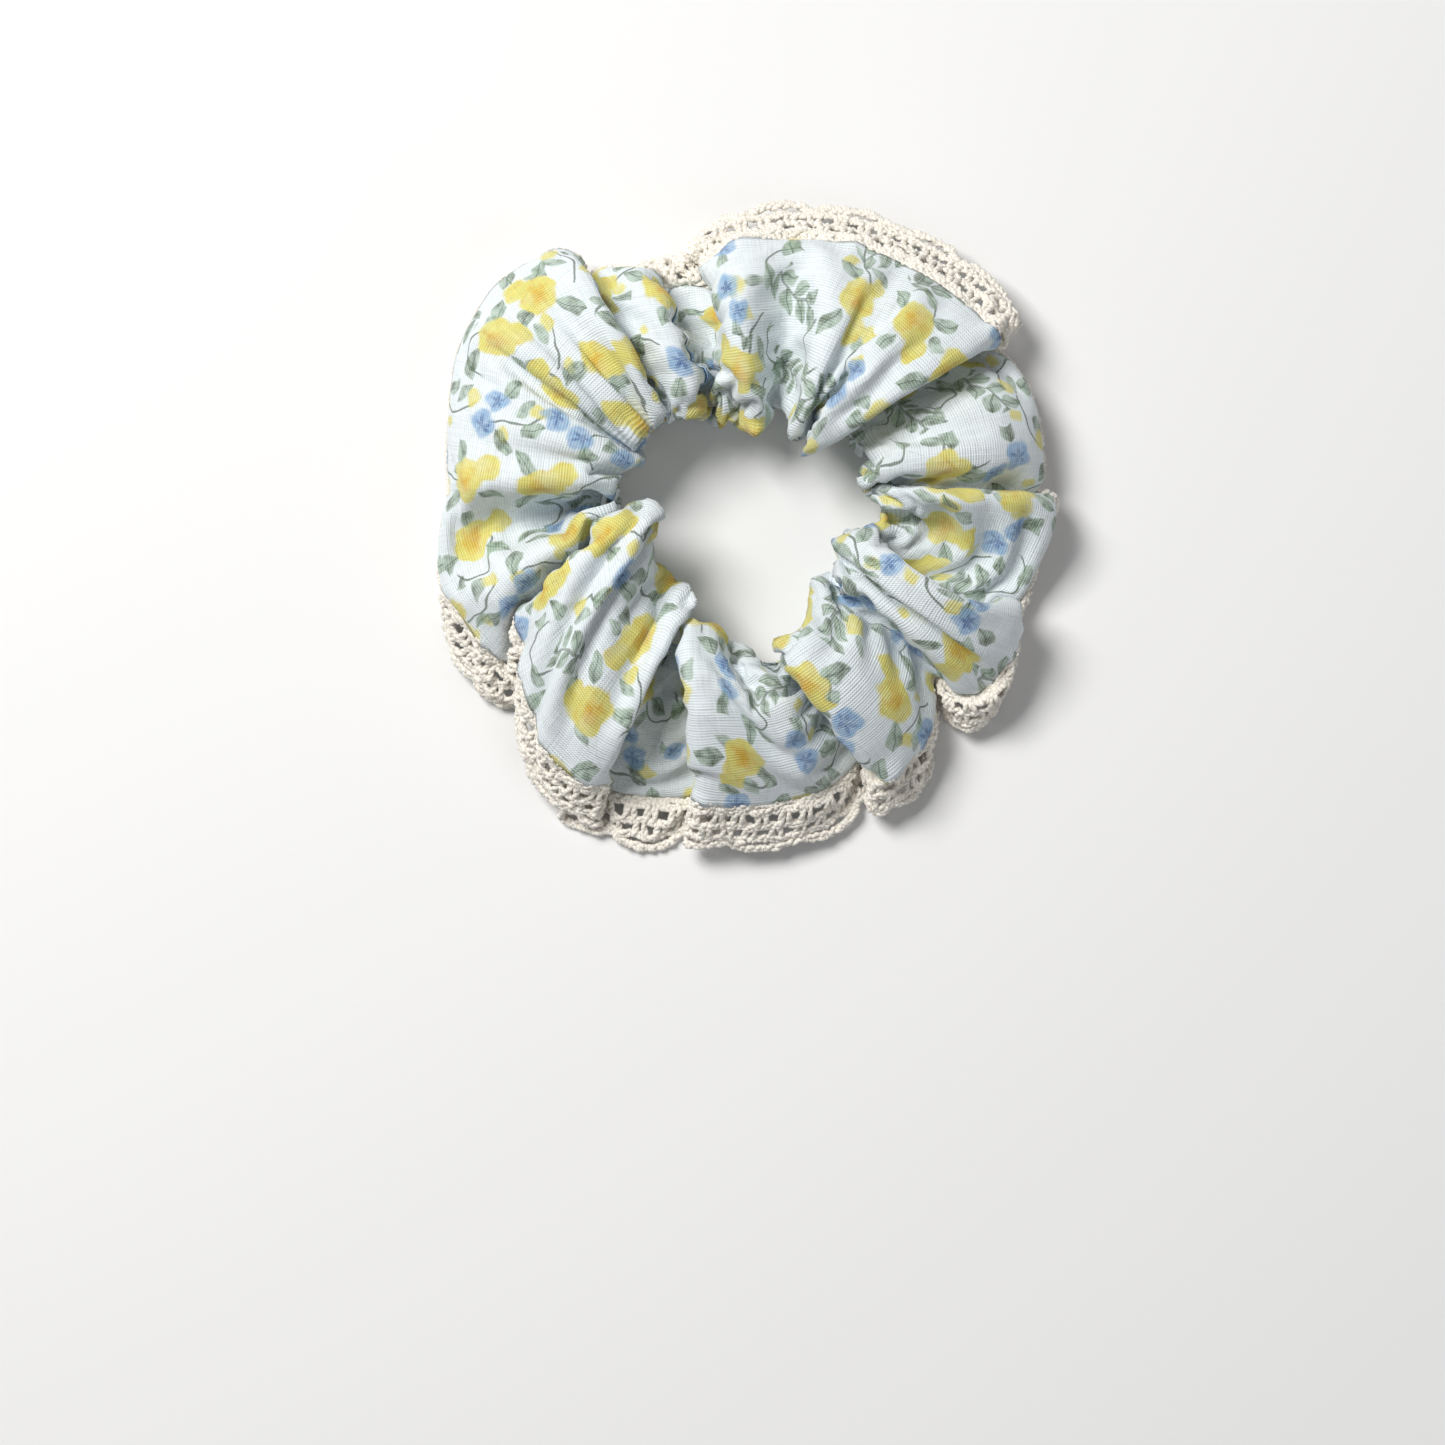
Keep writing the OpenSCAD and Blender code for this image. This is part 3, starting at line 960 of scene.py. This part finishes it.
class Cells:
    """Scatters a motif: coordinates in mm from the nearest motif's middle, turned at random, and a
    random number that says which kind of motif it is."""

    def __init__(self, tree, x, y, size, jitter, shift):
        x, y = x + shift, y + shift * 0.6
        node = tree.nodes.new("ShaderNodeTexVoronoi")
        node.voronoi_dimensions = "2D"
        node.inputs["Scale"].default_value = 1 / size
        node.inputs["Randomness"].default_value = jitter
        tree.links.new(vector(tree, x, y), node.inputs["Vector"])
        place = tree.nodes.new("ShaderNodeSeparateXYZ")
        tree.links.new(node.outputs["Position"], place.inputs[0])
        chance = tree.nodes.new("ShaderNodeSeparateColor")
        tree.links.new(node.outputs["Color"], chance.inputs[0])
        dx, dy = x - Field(tree, place.outputs[0]), y - Field(tree, place.outputs[1])
        turn = Field(tree, chance.outputs[0]) * (2 * math.pi)
        c, s = turn.cos(), turn.sin()
        self.x = dx * c + dy * s
        self.y = dy * c - dx * s
        self.kind = Field(tree, chance.outputs[1])

    def between(self, low, high):
        """1 on the motifs whose kind is in that range."""
        return self.kind.math("GREATER_THAN", low) * self.kind.math("LESS_THAN", high)

    def blob(self, *shape):
        return blob(self.x, self.y, *shape)

    def leaf(self, *shape):
        return leaf(self.x, self.y, *shape)


STEM_HALF = 0.33        # half the width of the print's stems, in mm
STEM_BLUR = 0.18
WEAVE_PITCH = 0.5       # from one row of the weave to the next


def printed_cloth():
    """White poplin with a watercolour print of yellow and blue flowers, leaves and stems."""
    material, tree, shader = new_material("printed_cloth", 0.85, 0.15)
    x, y = strip_position(tree)

    # the brush wobbles a little
    wobble_x = noise(tree, x / 3.4, y / 3.4, 0) - 0.5
    wobble_y = noise(tree, x / 3.4 + 40, y / 3.4, 0) - 0.5
    px, py = x + wobble_x * 1.7, y + wobble_y * 1.7
    pigment = noise(tree, x / 1.9, y / 1.9 + 90, 3)
    wash = noise(tree, x / 5, y / 5 + 50, 1)

    sage, deep_sage = linear(162, 188, 162), linear(84, 100, 72)
    lemon, gold = linear(231, 222, 118), linear(222, 172, 14)
    sky, navy = linear(140, 180, 220), linear(52, 84, 148)

    green = blend_colour(tree, sage, deep_sage, (pigment * 0.6 + wash * 0.4).over(0.36, 0.72))
    stem_green = linear(80, 98, 76)
    white = linear(238, 246, 250)

    # under layer: stems with buds, tendrils and small flowers
    under = Cells(tree, px, py, 14.0, 0.5, 6.5)
    budding, tendril, lone = under.between(-1, 0.4), under.between(0.4, 0.74), under.between(0.74, 2)
    bend = under.y - under.x * under.x * 0.06
    stem = stroke(bend.abs(), STEM_HALF, STEM_BLUR) * stroke(under.x.abs(), 5.8, 0.4)
    bud_one, _ = under.blob(4.4, 2.4, 1.9, 4, 0.14)
    bud_two, _ = under.blob(-3.2, -1.8, 1.5, 4, 0.14)
    buds = (bud_one + bud_two).capped() * budding
    stem_leaf, _ = under.leaf(-0.4, 1.5, 38, 5.6, 2.6)
    reach = (under.x * under.x + under.y * under.y).math("SQRT")
    arc = stroke((reach - 4.6).abs(), STEM_HALF, STEM_BLUR) * under.y.over(-1.5, 0.5)
    tendril_leaf, _ = under.leaf(3.8, 1.2, 20, 5.4, 3.0)
    tendril_leaf_two, _ = under.leaf(-1.5, 4.2, 205, 5.0, 2.8)
    small, _ = under.blob(0, 0, 2.6, 4, 0.16)
    small_leaf, _ = under.leaf(1.9, 0.8, 35, 5.0, 2.8)
    small_leaf_two, _ = under.leaf(-1.6, -1.4, 215, 4.4, 2.6)
    lines = stem * budding + arc * tendril
    leaves = ((tendril_leaf + tendril_leaf_two) * tendril + (small_leaf + small_leaf_two) * lone
              + stem_leaf * budding)
    colour = blend_colour(tree, white, stem_green, lines.capped() * 0.8)
    colour = blend_colour(tree, colour, green, leaves.capped() * (pigment * 0.6 + 0.4))
    yellow_under = (buds + small * lone).capped()
    colour = blend_colour(tree, colour, lemon, yellow_under * (pigment * 0.5 + 0.6))

    # upper layer: large blossoms, blue pairs and leafy sprigs
    upper = Cells(tree, px, py, 15.0, 0.35, 0.0)
    blossoming, blue, sprigged = upper.between(-1, 0.5), upper.between(0.5, 0.74), upper.between(0.74, 2)
    leaf_a, vein_a = upper.leaf(-3.2, -2.2, 215, 7.2, 3.5)
    leaf_b, vein_b = upper.leaf(3.2, -2.6, -32, 6.4, 3.1)
    leaf_c, vein_c = upper.leaf(-0.6, 2.6, 98, 6.8, 3.2)
    around = (leaf_a + leaf_b + leaf_c * upper.kind.math("LESS_THAN", 0.3)).capped()
    around = around * upper.kind.math("LESS_THAN", 0.74)
    spine = upper.y - upper.x * upper.x * 0.04
    lane = (upper.x + spine.math("SIGN") * 0.95) % 3.8
    sprig_leaf, vein_s = leaf(lane, spine.abs(), 0.1, 0.1, 44, 5.0, 2.8)
    inside = stroke(upper.x.abs(), 6.0, 0.3) * sprigged
    sprig = sprig_leaf * inside
    sprig_stem = stroke(spine.abs(), STEM_HALF, STEM_BLUR) * inside
    colour = blend_colour(tree, colour, green, (around + sprig).capped() * (pigment * 0.6 + 0.46))
    nearest_vein = vein_a.math("MINIMUM", vein_b).math("MINIMUM", vein_c)
    veins = stroke(nearest_vein, 0.2, 0.16) * around + stroke(vein_s, 0.2, 0.16) * sprig + sprig_stem
    colour = blend_colour(tree, colour, stem_green, veins.capped() * 0.65)

    petals, petals_in = upper.blob(0, 0, 4.6, 5, 0.16)
    second, _ = upper.blob(5.2, 2.6, 2.9, 4, 0.14)
    blossom = (petals + second).capped() * blossoming
    heart_of = (petals_in.over(0.1, 0.75) * -1 + 1) * 0.7 + (pigment - 0.5) * 1.3
    golden = blend_colour(tree, lemon, gold, heart_of.math("MAXIMUM", 0).capped())
    colour = blend_colour(tree, colour, golden, blossom * (wash * 0.5 + 0.7).capped())

    blue_one, _ = upper.blob(-2.4, 0.6, 3.0, 4, 0.14)
    blue_two, _ = upper.blob(2.7, -1.3, 2.7, 4, 0.14)
    blues = (blue_one + blue_two).capped() * blue
    star_one, _ = upper.blob(-2.4, 0.6, 1.9, 5, 0.7)
    star_two, _ = upper.blob(2.7, -1.3, 1.7, 5, 0.7)
    colour = blend_colour(tree, colour, sky, blues * (pigment * 0.6 + 0.5))
    stars = (star_one + star_two).capped()
    colour = blend_colour(tree, colour, navy, stars * blue * pigment)

    # plain weave: threads going over and under, a few of them thicker, with painted highlight on the
    # threads' tops and painted shade between them
    warp, weft = (way * (2 * math.pi / WEAVE_PITCH) for way in (x, y))
    warp, weft = warp.sin(), weft.sin()
    weave = warp * weft * 0.5 + weft * 0.5
    slub = noise(tree, x / 7, y / 0.5, 1) + noise(tree, x / 0.5, y / 7 + 30, 1) - 1
    # painted highlight: the ground's white laid over the print on the tops of the crossing threads
    colour = blend_colour(tree, colour, white, weave.over(0.0, 0.9) * 0.3)
    # painted shade: darker between the threads, multiplied into the colour, with lighter and darker
    # streaks along the thicker threads
    shade = weave * 0.17 + slub * 0.13 + 0.95
    weave_shade_grey = tree.nodes.new("ShaderNodeCombineColor")
    for slot in weave_shade_grey.inputs:
        tree.links.new(shade.socket, slot)
    fully = shade * 0 + 1
    colour = blend_colour(tree, colour, weave_shade_grey.outputs[0], fully, "MULTIPLY")
    tree.links.new(colour, shader.inputs["Base Color"])
    normal = bump(tree, weave * 0.6 + slub, 0.00012)
    tree.links.new(normal, shader.inputs["Normal"])
    return material


def yarn(name, light, shade_and_fibre_tone, ply, bump_depth, roughness):
    """Twisted cotton: two plies wound round each other every ply mm, with loose fibres. The colour goes
    from the lighter to the darker of the two given colours in the grooves between the plies, which is
    painted shade, and with random fibre tone.
    """
    material, tree, shader = new_material(name, roughness, 0.35)
    x, around = strip_position(tree)
    around = around / 1000
    twist = ((x / ply + around) * (2 * math.pi)).sin().abs()
    fibre = noise(tree, x / 0.5, around * 14 + x / ply * 6, 2)
    tone = twist * 0.5 + fibre * 0.5
    # painted shade in the ply grooves, mixed with random fibre tone
    colour = blend_colour(tree, shade_and_fibre_tone, light, tone.over(0.05, 0.75))
    tree.links.new(colour, shader.inputs["Base Color"])
    normal = bump(tree, twist + fibre * 0.4, bump_depth)
    tree.links.new(normal, shader.inputs["Normal"])
    return material


def elastic_cloth():
    """Braided elastic: fine herringbone of cover threads over rubber ribs."""
    material, tree, shader = new_material("elastic", 0.75, 0.2)
    x, y = strip_position(tree)
    zig = ((x + (y * (math.pi / 0.67)).sin().abs() * 0.5) * (2 * math.pi / 0.8)).sin()
    speck = noise(tree, x / 0.3, y / 0.3, 2)
    tone = zig * 0.3 + speck * 0.6 + 0.2
    colour = blend_colour(tree, linear(212, 212, 208), linear(246, 246, 243), tone.over(0, 0.9))
    tree.links.new(colour, shader.inputs["Base Color"])
    normal = bump(tree, zig * 0.5 + speck, 0.00005)
    tree.links.new(normal, shader.inputs["Normal"])
    return material


cloth_material = printed_cloth()
# each yarn's second colour is its shaded tone, painted into the ply grooves as painted shade
lace_material = yarn("cotton_lace", linear(250, 247, 239), linear(222, 208, 188), 1.5, 0.00005, 0.85)
thread_material = yarn("sewing_thread", linear(240, 240, 236), linear(196, 198, 196), 0.7, 0.00004, 0.6)
elastic_material = elastic_cloth()

# -------- each piece's material, and the model's parts that it stands for, which are hidden
PIECES = [
    (cover, cloth_material, "printed_cloth", ("cover_left", "cover_right")),
    (lace_piece, lace_material, "cotton_lace", ("lace_left", "lace_right")),
    (seam_piece, thread_material, "sewing_thread", ("lace_seam_left", "lace_seam_right")),
    (closing_piece, thread_material, "sewing_thread", ("closing_seam",)),
    (elastic_piece, elastic_material, "elastic", ("elastic_band",)),
    (zigzag_piece, thread_material, "sewing_thread", ("elastic_stitches",)),
]
for piece, material, slot, nodes in PIECES:
    piece.data.materials.append(material)
    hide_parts(*nodes)
    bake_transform(piece)

# -------- floor, light and camera
floor = plane("floor", GROUND_REACH)
floor_material, _, floor_shader = new_material("pale_floor", 0.9, 0)
floor_shader.inputs["Base Color"].default_value = (0.9, 0.9, 0.9, 1)
floor.data.materials.append(floor_material)

scene = bpy.context.scene
world = bpy.data.worlds.new("studio")
world.use_nodes = True
world.node_tree.nodes["Background"].inputs["Color"].default_value = (0.97, 0.98, 1, 1)
world.node_tree.nodes["Background"].inputs["Strength"].default_value = 0.17
scene.world = world


def area_light(name, place, size, watts, colour):
    light = bpy.data.lights.new(name, "AREA")
    light.size = size
    light.energy = watts
    light.color = colour
    lamp = bpy.data.objects.new(name, light)
    bpy.context.collection.objects.link(lamp)
    lamp.location = place
    lamp.rotation_euler = (-lamp.location).to_track_quat("-Z", "Y").to_euler()


area_light("window", (-0.47, 0.43, 0.88), 0.45, 12, (1, 0.99, 0.97))
area_light("bounce", (0.7, -0.6, 0.7), 0.8, 1.6, (0.97, 0.98, 1))

FRAME_W = 0.2644        # width that the picture takes in, at the object
CAMERA_H = 0.9
OBJECT_H = 0.012
camera_data = bpy.data.cameras.new("camera")
camera_data.sensor_width = 36
camera_data.lens = 36 * (CAMERA_H - OBJECT_H) / FRAME_W
camera = bpy.data.objects.new("camera", camera_data)
bpy.context.collection.objects.link(camera)
camera.location = (-0.00485, -0.0357, CAMERA_H)
scene.camera = camera
scene.view_settings.view_transform = "Standard"
